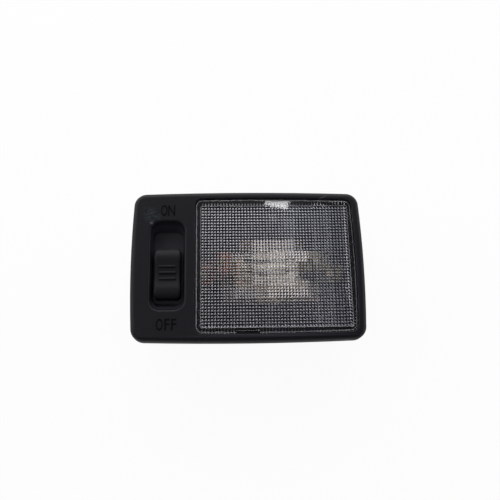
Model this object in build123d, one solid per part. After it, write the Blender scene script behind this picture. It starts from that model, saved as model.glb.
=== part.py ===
from build123d import *
import os
from math import floor, sqrt

# A car dome light: face up, +X towards the lens, +Y towards ON, back rim at Z = 0. Millimetres.

# Face of the housing
FACE_LENGTH = 90.0
FACE_WIDTH = 59.6
LONG_CROWN = 0.8
SHORT_CROWN = 1.0
CORNER_RADIUS = 5.0
EDGE_RADIUS = 2.0
BEZEL_FLAT = 0.2
FACE_BRIDGE = 4.25
BEZEL_HEIGHT = 5.0
FACE_THICKNESS = 2.2

# Box behind the face
BOX_DEPTH = 22.0
BOX_WALL = 1.7
BOX_CORNER_RADIUS = 4.0
FLOOR_THICKNESS = 1.6
WELL_DEPTH = 14.7
WELL_CORNER_RADIUS = 0.5

# Lens and its pocket
LENS_MARGIN_X = 3.6
LENS_MARGIN_Y = 3.3
LENS_LEDGE_X = 1.7
LENS_LEDGE_Y = 2.2
LENS_SINK = 0.3
LENS_THICKNESS = 2.0
LENS_CORNER_RADIUS = 2.6
LENS_RIM_RADIUS = 0.8
LENS_GAP = 0.4
POCKET_EDGE_RADIUS = 0.4

# Pyramids on the inner face of the lens
PRISM_PITCH = 1.2
PRISM_HEIGHT = 0.45
PRISM_PAD = 0.15
PRISM_CLEARANCE = 0.2

# Fine grooves across the border of the lens, one to each row of pyramids
COMB_WIDTH = 0.3
COMB_DEPTH = 0.15
COMB_GAP = 0.25
COMB_MARGIN = 0.9

# Lens fastening: two tongues at the top, a sprung tab and a pry notch at the bottom
TONGUE_SPACING = 33.0
TONGUE_WIDTH = 6.0
TONGUE_THICKNESS = 1.0
TONGUE_REACH = 1.2
TONGUE_CLEARANCE = 0.3
TAB_SHIFT = -11.075
TAB_WIDTH = 8.0
TAB_THICKNESS = 1.2
TAB_LENGTH = 7.7
TAB_CLEARANCE = 0.25
NOSE_HEIGHT = 1.7
NOSE_REACH = 0.6
NOSE_CLEARANCE = 0.1
NOTCH_WIDTH = 9.0
NOTCH_DEPTH = 1.0

# Screw holes that fasten the lamp
MOUNT_SPACING = 37.0
MOUNT_HOLE_RADIUS = 3.0
MOUNT_BOSS_RADIUS = 4.5

# Switch recess in the face
RECESS_DEPTH = 5.5
RECESS_END_RUN = 3.5
RECESS_SIDE_RUN = 0.9
RECESS_CORNER_RADIUS = 4.0
RECESS_FLOOR_RADIUS = 2.6
RECESS_WALL = 1.6
LIP_RADIUS = 0.9

# Switch knob
KNOB_LENGTH = 19.6
KNOB_WIDTH = 10.2
KNOB_SINK = 0.4
KNOB_CORNER_RADIUS = 1.6
KNOB_EDGE_RADIUS = 1.0
KNOB_END_DROP = 1.4
SCOOP_DEPTH = 0.8
SCOOP_RADIUS = 20.0
SCOOP_LENGTH = 10.0
RIB_COUNT = 3
RIB_PITCH = 2.45
RIB_SHIFT = 0.3
RIB_LENGTH = 6.6
RIB_WIDTH = 1.1
RIB_HEIGHT = 0.55
RIB_ROUND = 0.5
NECK_WIDTH = 5.0
NECK_LENGTH = 3.6
NECK_GRIP = 3.6
KNOB_TRAVEL = 6.4
KNOB_END_GAP = 1.3
KNOB_SIDE_GAP = 0.6
RUNNING_GAP = 0.3

# Slider behind the recess floor
CARRIER_WIDTH = 10.0
CARRIER_LENGTH = 14.0
CARRIER_HEIGHT = 5.0
CARRIER_EDGE_RADIUS = 0.6
SOCKET_CLEARANCE = 0.1
GUIDE_WALL = 1.4
GUIDE_OVERRUN = 1.0
NOTCH_RADIUS = 1.2
NOTCH_BITE = 0.6

# Detent leaf beside the slider
LEAF_THICKNESS = 0.4
LEAF_HEIGHT = 4.0
LEAF_LENGTH = 19.0
LEAF_BUMP_WIDTH = 4.6
LEAF_BEND = 0.6
LEAF_WALL_GAP = 1.3
LEAF_GUIDE_GAP = 0.8
LEAF_POST_LENGTH = 2.8
LEAF_POST_WALL = 0.8
LEAF_SLOT_CLEARANCE = 0.1

# Festoon bulb
BULB_SHIFT = -2.475
BULB_LENGTH = 31.0
BULB_GAP = 0.5
GLASS_RADIUS = 5.0
GLASS_WALL = 0.6
GLASS_LENGTH = 19.0
GLASS_END_RADIUS = 3.0
GLASS_TAIL = 2.0
CAP_CLEARANCE = 0.2
CAP_WALL = 0.4
NIPPLE_RADIUS = 1.6
NIPPLE_LENGTH = 1.6
LEAD_RADIUS = 0.25
COIL_RADIUS = 0.5
COIL_LENGTH = 9.0

# Stamped contacts
CONTACT_THICKNESS = 0.8
CONTACT_BEND = 0.6
CLIP_WIDTH = 8.0
CLIP_OVER_AXIS = 4.0
CLIP_CORNER_RADIUS = 1.5
CLIP_HOLE_CLEARANCE = 0.3
BLADE_WIDTH = 6.3
BLADE_INSET = 0.9
BLADE_CLEARANCE = 0.3
FEED_BLADE_RUN = 12.2
FOOT_LENGTH = 7.0
ARM_WIDTH = 4.0
ARM_Y = -0.5
ARM_END = 3.0
GROUND_PAD_START = 4.0
GROUND_BLADE_RUN = 3.1
MOVING_THICKNESS = 0.4
MOVING_WIDTH = 4.0
MOVING_REACH = 4.0
MOVING_BEND = 0.8

# Rivets and screws
RIVET_RADIUS = 1.2
RIVET_HEAD_RADIUS = 2.1
RIVET_HEAD_HEIGHT = 0.6
RIVET_CLEARANCE = 0.05
FEED_RIVET_RUN = 6.4
CLIP_RIVET_RUN = 4.6
ARM_RIVET_RUN = 7.3
GROUND_RIVET_RUN = 4.0
BASE_SCREW_INSET = 4.8
BASE_SCREW_OFFSET = 6.4
BASE_SCREW_RADIUS = 1.2
BASE_SCREW_LENGTH = 7.0
BASE_BOSS_RADIUS = 3.0
SCREW_HEAD_RADIUS = 2.3
SCREW_HEAD_HEIGHT = 1.5
SCREW_CLEARANCE = 0.05
SCREW_SLOT_WIDTH = 0.7
SCREW_SLOT_LENGTH = 2.6
SCREW_SLOT_DEPTH = 0.8

# Switch base and reflector
BASE_THICKNESS = 1.6
BASE_CLEARANCE = 0.3
PLATE_LENGTH = 26.5
PLATE_WIDTH = 21.5
PLATE_SHIFT = -0.325
PLATE_Y = -1.0
PLATE_THICKNESS = 0.5
PLATE_CORNER_RADIUS = 1.0
PLATE_TAB_SPACING = 15.0
PLATE_TAB_WIDTH = 4.0
PLATE_TAB_FOOT = 2.2
PLATE_BEND = 0.4
PLATE_CLEARANCE = 0.4

# Heights and edges that follow from the sizes above
HALF_LENGTH = FACE_LENGTH / 2
HALF_WIDTH = FACE_WIDTH / 2
FACE_Z = BOX_DEPTH + BEZEL_HEIGHT
RIM_Z = FACE_Z - LENS_SINK
LEDGE_Z = RIM_Z - LENS_THICKNESS
FLOOR_Z = LEDGE_Z - WELL_DEPTH
FLOOR_BACK_Z = FLOOR_Z - FLOOR_THICKNESS
BASE_BACK_Z = FLOOR_Z - BASE_THICKNESS
LENS_RIGHT = HALF_LENGTH - LENS_MARGIN_X
LENS_TOP = HALF_WIDTH - LENS_MARGIN_Y
WELL_RIGHT = LENS_RIGHT - LENS_LEDGE_X
WELL_TOP = LENS_TOP - LENS_LEDGE_Y
BOX_RIGHT = WELL_RIGHT + BOX_WALL
BOX_TOP = WELL_TOP + BOX_WALL
CEILING_Z = FACE_Z - FACE_THICKNESS

# The switch stacks up from the left wall: leaf, guide, slider
ROOM_LEFT = BOX_WALL - BOX_RIGHT
CARRIER_SIDE = CARRIER_WIDTH / 2
GUIDE_INNER = CARRIER_SIDE + RUNNING_GAP
GUIDE_OUTER = GUIDE_INNER + GUIDE_WALL
LEAF_X = ROOM_LEFT + LEAF_WALL_GAP
SWITCH_X = LEAF_X + LEAF_GUIDE_GAP + GUIDE_OUTER
RECESS_LENGTH = KNOB_LENGTH + KNOB_TRAVEL + 2 * (KNOB_END_GAP + RECESS_END_RUN)
RECESS_WIDTH = KNOB_WIDTH + 2 * (KNOB_SIDE_GAP + RECESS_SIDE_RUN)
RECESS_Z = FACE_Z - RECESS_DEPTH
TUB_Z = RECESS_Z - RECESS_WALL
KNOB_Y = -KNOB_TRAVEL / 2
KNOB_BACK_Z = RECESS_Z + RUNNING_GAP
KNOB_TOP_Z = FACE_Z - KNOB_SINK
CARRIER_TOP_Z = TUB_Z - RUNNING_GAP
CARRIER_BACK_Z = CARRIER_TOP_Z - CARRIER_HEIGHT
GROUND_RIVET_Y = KNOB_Y + KNOB_TRAVEL + MOVING_REACH + GROUND_RIVET_RUN
GROUND_BLADE_Y = GROUND_RIVET_Y + GROUND_BLADE_RUN
ARM_RIVET_X = SWITCH_X + ARM_RIVET_RUN

# The lens begins past the recess, and the bulb lies across its well
LENS_LEFT = SWITCH_X + RECESS_WIDTH / 2 + FACE_BRIDGE
WELL_LEFT = LENS_LEFT + LENS_LEDGE_X
WELL_LENGTH = WELL_RIGHT - WELL_LEFT
WELL_X = (WELL_LEFT + WELL_RIGHT) / 2
PRISM_COLUMNS = floor((WELL_LENGTH - 2 * PRISM_CLEARANCE) / PRISM_PITCH)
PRISM_ROWS = floor((2 * WELL_TOP - 2 * PRISM_CLEARANCE) / PRISM_PITCH)
FIELD_SIDE = PRISM_COLUMNS * PRISM_PITCH / 2
FIELD_TOP = PRISM_ROWS * PRISM_PITCH / 2
ROOM_RIGHT = WELL_LEFT - BOX_WALL
ROOM_STEP_RIGHT = LENS_LEFT - LENS_GAP - BOX_WALL
ROOM_STEP_Z = LEDGE_Z - BOX_WALL
TAB_X = WELL_X + TAB_SHIFT
PAD_Z = FLOOR_Z + CONTACT_THICKNESS
PLATE_X = WELL_X + PLATE_SHIFT
BULB_X = WELL_X + BULB_SHIFT
BULB_Z = FLOOR_Z + PLATE_THICKNESS + BULB_GAP + GLASS_RADIUS
BULB_SHOULDER = BULB_LENGTH / 2 - NIPPLE_LENGTH
CAP_BORE = GLASS_END_RADIUS + CAP_CLEARANCE
CAP_RADIUS = CAP_BORE + CAP_WALL
CLIP_LEFT = BULB_X - BULB_SHOULDER
CLIP_RIGHT = BULB_X + BULB_SHOULDER
CLIP_RIVET_X = CLIP_LEFT - CLIP_RIVET_RUN
FEED_RIVET_X = CLIP_RIGHT + FEED_RIVET_RUN
FEED_BLADE_X = CLIP_RIGHT + FEED_BLADE_RUN


def block(x0, x1, y0, y1, z0, z1):
    """A box between two corners."""
    return Pos((x0 + x1) / 2, (y0 + y1) / 2, (z0 + z1) / 2) * Box(x1 - x0, y1 - y0, z1 - z0)


def rod(x, y, z0, z1, radius):
    """An upright cylinder between two heights."""
    return Pos(x, y, (z0 + z1) / 2) * Cylinder(radius, z1 - z0)


def crowned_outline(half_x, half_y):
    """A rectangle whose four sides bow outwards as the sides of the face do."""
    corner_x = half_x - SHORT_CROWN * (half_y / HALF_WIDTH) ** 2
    corner_y = half_y - LONG_CROWN * (half_x / HALF_LENGTH) ** 2
    top = ThreePointArc((-corner_x, corner_y), (0, half_y), (corner_x, corner_y))
    right = ThreePointArc((corner_x, corner_y), (half_x, 0), (corner_x, -corner_y))
    bottom = ThreePointArc((corner_x, -corner_y), (0, -half_y), (-corner_x, -corner_y))
    left = ThreePointArc((-corner_x, -corner_y), (-half_x, 0), (-corner_x, corner_y))
    return make_face([top, right, bottom, left])


def lens_outline(gap):
    """The lens seen from the front, grown by a gap: three bowed sides and a straight left one."""
    whole = crowned_outline(LENS_RIGHT + gap, LENS_TOP + gap)
    left = LENS_LEFT - gap
    right_part = Pos(left + FACE_LENGTH / 2, 0) * Rectangle(FACE_LENGTH, FACE_WIDTH)
    outline = whole & right_part
    return fillet(outline.vertices(), LENS_CORNER_RADIUS + gap)


def rounded_prism(x0, x1, y0, y1, z0, z1, radius):
    """A box with rounded upright corners."""
    plan = Pos((x0 + x1) / 2, (y0 + y1) / 2, z0) * RectangleRounded(x1 - x0, y1 - y0, radius)
    return extrude(plan, z1 - z0)


def strip_xz(points, bend, thickness, y, width):
    """A bent strip whose mid-line is drawn in X and Z."""
    line = FilletPolyline(*points, radius=bend)
    section = Plane.XZ * trace(line, thickness)
    return Pos(0, y, 0) * extrude(section, width / 2, both=True)


def strip_yz(points, bend, thickness, x, width):
    """A bent strip whose mid-line is drawn in Y and Z."""
    line = FilletPolyline(*points, radius=bend)
    section = Plane.YZ * trace(line, thickness)
    return Pos(x, 0, 0) * extrude(section, width / 2, both=True)


def turned_x(points):
    """A body turned about the bulb's axis from (x, radius) points, x taken from the bulb's middle."""
    section = Plane.XZ * make_face(Polyline(*points, close=True))
    return Pos(BULB_X, 0, BULB_Z) * revolve(section, Axis.X)


def recess_tub(grow, top_z, floor_z):
    """The tapered trough of the switch, grown by a wall."""
    lip = RectangleRounded(RECESS_WIDTH + 2 * grow, RECESS_LENGTH + 2 * grow, RECESS_CORNER_RADIUS + grow)
    floor_width = RECESS_WIDTH - 2 * RECESS_SIDE_RUN + 2 * grow
    floor_length = RECESS_LENGTH - 2 * RECESS_END_RUN + 2 * grow
    bottom = RectangleRounded(floor_width, floor_length, RECESS_FLOOR_RADIUS + grow)
    return loft([Pos(SWITCH_X, 0, floor_z) * bottom, Pos(SWITCH_X, 0, top_z) * lip])


def lens_tongues(clearance):
    """The two rigid tongues that slip under the top of the bezel."""
    half = TONGUE_WIDTH / 2 + clearance
    tip = LENS_TOP + TONGUE_REACH + clearance
    top = LEDGE_Z + TONGUE_THICKNESS + clearance
    root = LENS_TOP - LENS_LEDGE_Y / 2
    tongues = [block(x - half, x + half, root, tip, LEDGE_Z, top) for x in tongue_places()]
    return tongues[0] + tongues[1]


def tongue_places():
    """Where the tongues stand along the top of the lens."""
    return (WELL_X - TONGUE_SPACING / 2, WELL_X + TONGUE_SPACING / 2)


def mount_places():
    """The two screw holes of the lamp."""
    return ((WELL_X, -MOUNT_SPACING / 2), (WELL_X, MOUNT_SPACING / 2))


def base_screw_places():
    """The two screws of the switch base, the upper one beside the blade."""
    reach = WELL_TOP - BASE_SCREW_INSET
    return ((SWITCH_X, -reach), (SWITCH_X + BASE_SCREW_OFFSET, reach))


def rivet_places():
    """Rivets through the well floor, then rivets through the switch base, as (x, y)."""
    floor_rivets = ((FEED_RIVET_X, 0), (CLIP_RIVET_X, 0))
    base_rivets = ((ARM_RIVET_X, ARM_Y), (SWITCH_X, GROUND_RIVET_Y))
    return floor_rivets, base_rivets


def plate_tab_places():
    """Where the tabs of the reflector stand along its long edges."""
    return (PLATE_X - PLATE_TAB_SPACING / 2, PLATE_X + PLATE_TAB_SPACING / 2)


def front_face(body):
    """The flat front of the bezel."""
    return body.faces().filter_by(Plane.XY).group_by(Axis.Z)[-1].sort_by(SortBy.AREA)[-1]


def housing():
    """Bezel, box, lens well and switch recess, moulded as one piece."""
    face = fillet(crowned_outline(HALF_LENGTH, HALF_WIDTH).vertices(), CORNER_RADIUS)
    bezel = extrude(Pos(0, 0, BOX_DEPTH) * face, BEZEL_HEIGHT)
    edge_room = LENS_MARGIN_Y - LENS_GAP - POCKET_EDGE_RADIUS - BEZEL_FLAT
    bezel = fillet(bezel.edges().group_by(Axis.Z)[-1], min(EDGE_RADIUS, edge_room))
    body = bezel + rounded_prism(
        -BOX_RIGHT, BOX_RIGHT, -BOX_TOP, BOX_TOP, 0, BOX_DEPTH + BEZEL_HEIGHT / 2, BOX_CORNER_RADIUS
    )

    # Lens pocket with its eased edge, lens well, and the wiring space behind the well floor
    pocket = extrude(Pos(0, 0, LEDGE_Z) * lens_outline(LENS_GAP), FACE_Z - LEDGE_Z)
    body -= pocket
    body = fillet(front_face(body).inner_wires()[0].edges(), POCKET_EDGE_RADIUS)
    well = (WELL_LEFT, WELL_RIGHT, -WELL_TOP, WELL_TOP)
    body -= rounded_prism(*well, FLOOR_Z, LEDGE_Z, WELL_CORNER_RADIUS)
    body -= rounded_prism(*well, 0, FLOOR_BACK_Z, WELL_CORNER_RADIUS)

    # Switch compartment around the outside of the recess
    room = block(ROOM_LEFT, ROOM_RIGHT, -WELL_TOP, WELL_TOP, 0, ROOM_STEP_Z)
    room += block(ROOM_LEFT, ROOM_STEP_RIGHT, -WELL_TOP, WELL_TOP, 0, CEILING_Z)
    body -= room - recess_tub(RECESS_WALL, FACE_Z, TUB_Z)
    body += switch_room_fittings()
    body -= recess_tub(0, FACE_Z, RECESS_Z)
    lip = front_face(body).inner_wires().sort_by(Axis.X)[0]
    body = fillet(lip.edges(), LIP_RADIUS)
    slot_half = (NECK_LENGTH + KNOB_TRAVEL) / 2 + RUNNING_GAP
    slot_side = NECK_WIDTH / 2 + RUNNING_GAP
    body -= block(SWITCH_X - slot_side, SWITCH_X + slot_side, -slot_half, slot_half, TUB_Z, RECESS_Z)

    # Screw bosses behind the well floor
    for x, y in mount_places():
        body += rod(x, y, 0, FLOOR_BACK_Z, MOUNT_BOSS_RADIUS)
        body -= rod(x, y, 0, FLOOR_Z, MOUNT_HOLE_RADIUS)

    # Room for the tongues and the sprung tab of the lens
    body -= lens_tongues(TONGUE_CLEARANCE)
    tab_half = TAB_WIDTH / 2 + TAB_CLEARANCE
    tab_end = LEDGE_Z - TAB_LENGTH - TAB_CLEARANCE
    body -= block(TAB_X - tab_half, TAB_X + tab_half, -BOX_TOP, -WELL_TOP, tab_end, LEDGE_Z)
    return body - contact_cuts()


def switch_room_fittings():
    """Slider guides, detent posts and screw bosses inside the switch compartment."""
    half = (CARRIER_LENGTH + KNOB_TRAVEL) / 2 + GUIDE_OVERRUN
    right_x = (SWITCH_X + GUIDE_INNER, SWITCH_X + GUIDE_OUTER)
    left_x = (SWITCH_X - GUIDE_OUTER, SWITCH_X - GUIDE_INNER)
    window = LEAF_BUMP_WIDTH / 2 + RUNNING_GAP
    fittings = block(*left_x, -half, half, CARRIER_BACK_Z, RECESS_Z)
    fittings -= block(*left_x, -window, window, CARRIER_BACK_Z, TUB_Z)
    fittings += block(*right_x, -half, half, CARRIER_BACK_Z, RECESS_Z)

    slot = LEAF_THICKNESS / 2 + LEAF_SLOT_CLEARANCE
    post_end = LEAF_LENGTH / 2 + LEAF_POST_WALL
    post_start = post_end - LEAF_POST_LENGTH
    leaf_top = CARRIER_BACK_Z + LEAF_HEIGHT + LEAF_SLOT_CLEARANCE
    for side in (-1, 1):
        low, high = sorted((side * post_start, side * post_end))
        post = block(ROOM_LEFT, LEAF_X + slot + LEAF_POST_WALL, low, high, CARRIER_BACK_Z, CEILING_Z)
        low, high = sorted((side * post_start, side * (LEAF_LENGTH / 2 + LEAF_SLOT_CLEARANCE)))
        fittings += post - block(LEAF_X - slot, LEAF_X + slot, low, high, CARRIER_BACK_Z, leaf_top)

    for x, y in base_screw_places():
        boss = rod(x, y, FLOOR_Z, CEILING_Z, BASE_BOSS_RADIUS)
        depth = FLOOR_Z + BASE_SCREW_LENGTH
        fittings += boss - rod(x, y, FLOOR_Z, depth, BASE_SCREW_RADIUS + SCREW_CLEARANCE)
    return fittings


def contact_cuts():
    """Slots and holes of the housing that the contacts, rivets and reflector pass through."""
    half_blade = BLADE_WIDTH / 2 + BLADE_CLEARANCE
    half_sheet = CONTACT_THICKNESS / 2 + BLADE_CLEARANCE
    blade_x = (FEED_BLADE_X - half_sheet - CONTACT_BEND, FEED_BLADE_X + half_sheet)
    cuts = block(*blade_x, -half_blade, half_blade, FLOOR_BACK_Z, FLOOR_Z)
    half_arm = ARM_WIDTH / 2 + BLADE_CLEARANCE
    arm_top = PAD_Z + BLADE_CLEARANCE
    cuts += block(ROOM_RIGHT, WELL_LEFT, ARM_Y - half_arm, ARM_Y + half_arm, FLOOR_Z, arm_top)
    for x, y in rivet_places()[0]:
        cuts += rod(x, y, FLOOR_BACK_Z, FLOOR_Z, RIVET_RADIUS + RIVET_CLEARANCE)
    half_tab = PLATE_TAB_WIDTH / 2 + PLATE_CLEARANCE
    for x in plate_tab_places():
        for side in (-1, 1):
            edge = PLATE_Y + side * (PLATE_WIDTH - PLATE_THICKNESS) / 2
            half = PLATE_THICKNESS / 2 + PLATE_CLEARANCE
            cuts += block(x - half_tab, x + half_tab, edge - half, edge + half, FLOOR_BACK_Z, FLOOR_Z)
    return cuts


def prism_field():
    """Square pyramids side by side: where two crossed sets of V-shaped ridges meet."""
    along_x = Plane.XZ * make_face(ridge_line(PRISM_COLUMNS))
    along_y = Plane.YZ * make_face(ridge_line(PRISM_ROWS))
    field = extrude(along_x, FIELD_TOP, both=True) & extrude(along_y, FIELD_SIDE, both=True)
    return Pos(WELL_X, 0, LEDGE_Z - PRISM_PAD) * field


def ridge_line(count):
    """The section of a set of ridges, points down, valleys at zero."""
    half = count * PRISM_PITCH / 2
    points = [(-half, 2 * PRISM_PAD)]
    for ridge in range(count):
        valley = ridge * PRISM_PITCH - half
        points.append((valley, 0))
        points.append((valley + PRISM_PITCH / 2, -PRISM_HEIGHT))
    points.append((half, 0))
    points.append((half, 2 * PRISM_PAD))
    return Polyline(*points, close=True)


def comb_grooves():
    """Fine V-shaped grooves across the border of the lens, in line with the pyramids."""
    half = COMB_WIDTH / 2
    section = make_face(Polyline((-half, 0), (half, 0), (0, COMB_DEPTH), close=True))
    start = FIELD_TOP + COMB_GAP
    upright = extrude(Plane.XZ * section, LENS_TOP - COMB_MARGIN - start)
    grooves = []
    for column in range(PRISM_COLUMNS):
        x = WELL_X + (column - (PRISM_COLUMNS - 1) / 2) * PRISM_PITCH
        grooves.append(Pos(x, LENS_TOP - COMB_MARGIN, LEDGE_Z) * upright)
        if abs(x - TAB_X) > (TAB_WIDTH + COMB_WIDTH) / 2:
            grooves.append(Pos(x, -start, LEDGE_Z) * upright)
    left_start = LENS_LEFT + COMB_MARGIN
    right_start = WELL_X + FIELD_SIDE + COMB_GAP
    left = extrude(Plane.YZ * section, WELL_X - FIELD_SIDE - COMB_GAP - left_start)
    right = extrude(Plane.YZ * section, LENS_RIGHT - COMB_MARGIN - right_start)
    for row in range(PRISM_ROWS):
        y = (row - (PRISM_ROWS - 1) / 2) * PRISM_PITCH
        grooves.append(Pos(left_start, y, LEDGE_Z) * left)
        grooves.append(Pos(right_start, y, LEDGE_Z) * right)
    return grooves


def lens():
    """Clear plate with a rolled rim, a field of pyramids, two tongues and a sprung tab."""
    plate = extrude(Pos(0, 0, LEDGE_Z) * lens_outline(0), LENS_THICKNESS)
    plate = fillet(plate.edges().group_by(Axis.Z)[-1], LENS_RIM_RADIUS)
    plate -= comb_grooves()
    half_notch = NOTCH_WIDTH / 2
    notch_y = (-LENS_TOP - LENS_GAP, NOTCH_DEPTH - LENS_TOP)
    plate -= block(TAB_X - half_notch, TAB_X + half_notch, *notch_y, LEDGE_Z, RIM_Z)
    plate += lens_tongues(0)

    tab_back = -WELL_TOP - TAB_CLEARANCE
    tab_front = tab_back - TAB_THICKNESS
    tab_end = LEDGE_Z - TAB_LENGTH
    half_tab = TAB_WIDTH / 2
    nose_top = BOX_DEPTH - NOSE_CLEARANCE
    nose_tip = -BOX_TOP - NOSE_REACH
    nose = make_face(
        Polyline(
            (tab_back, tab_end),
            (tab_front, tab_end),
            (tab_front, nose_top - NOSE_HEIGHT),
            (nose_tip, nose_top),
            (tab_front, nose_top),
            (tab_front, LEDGE_Z),
            (tab_back, LEDGE_Z),
            close=True,
        )
    )
    plate += Pos(TAB_X, 0, 0) * extrude(Plane.YZ * nose, half_tab, both=True)
    return plate + prism_field()


def knob_side():
    """The knob seen from its side: a thumb scoop in the middle that rolls over to both ends."""
    half = KNOB_LENGTH / 2
    reach = SCOOP_LENGTH / 2
    low = KNOB_TOP_Z - SCOOP_DEPTH
    rise = SCOOP_RADIUS - sqrt(SCOOP_RADIUS**2 - reach**2)
    slope = (sqrt(SCOOP_RADIUS**2 - reach**2), reach)
    end = KNOB_TOP_Z - KNOB_END_DROP
    scoop = ThreePointArc((-reach, low + rise), (0, low), (reach, low + rise))
    upper_roll = TangentArc((reach, low + rise), (half, end), tangent=slope)
    lower_roll = mirror(upper_roll, Plane.YZ)
    base = Polyline((half, end), (half, KNOB_BACK_Z), (-half, KNOB_BACK_Z), (-half, end))
    return make_face([lower_roll, scoop, upper_roll, base])


def switch_knob():
    """Thumb piece with a scooped, ribbed top and a neck that passes through the recess floor."""
    half = KNOB_LENGTH / 2
    plan = Pos(0, 0, KNOB_BACK_Z) * RectangleRounded(KNOB_WIDTH, KNOB_LENGTH, KNOB_CORNER_RADIUS)
    knob = extrude(Plane.YZ * knob_side(), KNOB_WIDTH, both=True) & extrude(plan, FACE_Z - KNOB_BACK_Z)
    across = knob.edges().filter_by(Axis.X)
    inner = [edge for edge in across if abs(edge.center().Y) < half - KNOB_CORNER_RADIUS]
    walls = knob.edges().filter_by(Axis.Z)
    back = knob.edges().group_by(Axis.Z)[0]
    knob = fillet([edge for edge in knob.edges() if edge not in inner + walls + back], KNOB_EDGE_RADIUS)

    rib_top = KNOB_TOP_Z - SCOOP_DEPTH + RIB_HEIGHT
    rib_foot = rib_top - SCOOP_DEPTH - RIB_HEIGHT
    for index in range(RIB_COUNT):
        y = RIB_SHIFT + (index - (RIB_COUNT - 1) / 2) * RIB_PITCH
        rib = block(
            -RIB_LENGTH / 2, RIB_LENGTH / 2, y - RIB_WIDTH / 2, y + RIB_WIDTH / 2, rib_foot, rib_top
        )
        knob += fillet(rib.edges().group_by(Axis.Z)[-1], RIB_ROUND)
    neck_end = CARRIER_TOP_Z - NECK_GRIP
    half_neck = (NECK_WIDTH / 2, NECK_LENGTH / 2)
    knob += block(-half_neck[0], half_neck[0], -half_neck[1], half_neck[1], neck_end, KNOB_BACK_Z)
    return Pos(SWITCH_X, KNOB_Y, 0) * knob


def contact_carrier():
    """Slider with a socket for the knob's neck and two detent notches in its left side."""
    half = CARRIER_LENGTH / 2
    carrier = block(-CARRIER_SIDE, CARRIER_SIDE, -half, half, CARRIER_BACK_Z, CARRIER_TOP_Z)
    carrier = fillet(carrier.edges().filter_by(Axis.Z), CARRIER_EDGE_RADIUS)
    socket_x = NECK_WIDTH / 2 + SOCKET_CLEARANCE
    socket_y = NECK_LENGTH / 2 + SOCKET_CLEARANCE
    carrier -= block(
        -socket_x, socket_x, -socket_y, socket_y, CARRIER_TOP_Z - NECK_GRIP, CARRIER_TOP_Z
    )
    notch_x = -CARRIER_SIDE - NOTCH_RADIUS + NOTCH_BITE
    for y in (-KNOB_TRAVEL / 2, KNOB_TRAVEL / 2):
        carrier -= rod(notch_x, y, CARRIER_BACK_Z, CARRIER_TOP_Z, NOTCH_RADIUS)
    return Pos(SWITCH_X, KNOB_Y, 0) * carrier


def moving_contact():
    """Spring bridge under the carrier, with two feet that run over the fixed contacts."""
    top = CARRIER_BACK_Z - MOVING_THICKNESS / 2
    foot = PAD_Z + RUNNING_GAP + MOVING_THICKNESS / 2
    knee = MOVING_REACH / 2
    lift = (top + foot) / 2
    heel = CARRIER_LENGTH / 2 - MOVING_THICKNESS
    points = (
        (-heel, lift),
        (-MOVING_REACH, foot),
        (-knee, top),
        (knee, top),
        (MOVING_REACH, foot),
        (heel, lift),
    )
    bridge = strip_yz(points, MOVING_BEND, MOVING_THICKNESS, 0, MOVING_WIDTH)
    return Pos(SWITCH_X, KNOB_Y, 0) * bridge


def detent_spring():
    """Spring leaf with a bump that drops into the carrier's notches."""
    tip = SWITCH_X - GUIDE_INNER - LEAF_THICKNESS / 2
    half = LEAF_LENGTH / 2
    half_bump = LEAF_BUMP_WIDTH / 2
    points = ((LEAF_X, -half), (LEAF_X, -half_bump), (tip, 0), (LEAF_X, half_bump), (LEAF_X, half))
    line = FilletPolyline(*points, radius=LEAF_BEND)
    return extrude(Pos(0, 0, CARRIER_BACK_Z) * trace(line, LEAF_THICKNESS), LEAF_HEIGHT)


def switch_base():
    """Insulating plate that carries the fixed contacts and closes the switch compartment."""
    plate = block(
        ROOM_LEFT + BASE_CLEARANCE,
        ROOM_RIGHT - BASE_CLEARANCE,
        BASE_CLEARANCE - WELL_TOP,
        WELL_TOP - BASE_CLEARANCE,
        BASE_BACK_Z,
        FLOOR_Z,
    )
    half_blade = BLADE_WIDTH / 2 + BLADE_CLEARANCE
    half_sheet = CONTACT_THICKNESS / 2 + BLADE_CLEARANCE
    blade_y = (GROUND_BLADE_Y - half_sheet - CONTACT_BEND, GROUND_BLADE_Y + half_sheet)
    plate -= block(SWITCH_X - half_blade, SWITCH_X + half_blade, *blade_y, BASE_BACK_Z, FLOOR_Z)
    for x, y in rivet_places()[1]:
        plate -= rod(x, y, BASE_BACK_Z, FLOOR_Z, RIVET_RADIUS + RIVET_CLEARANCE)
    for x, y in base_screw_places():
        plate -= rod(x, y, BASE_BACK_Z, FLOOR_Z, BASE_SCREW_RADIUS + SCREW_CLEARANCE)
    return plate


def bulb_clip(sheet, x):
    """The upright end of a contact: a hole for the bulb's nipple and rounded upper corners."""
    corners = sheet.edges().filter_by(Axis.X).group_by(Axis.Z)[-1]
    sheet = fillet(corners, CLIP_CORNER_RADIUS)
    hole = Rot(0, 90, 0) * Cylinder(NIPPLE_RADIUS + CLIP_HOLE_CLEARANCE, 4 * CONTACT_THICKNESS)
    return sheet - Pos(x, 0, BULB_Z) * hole


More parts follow.
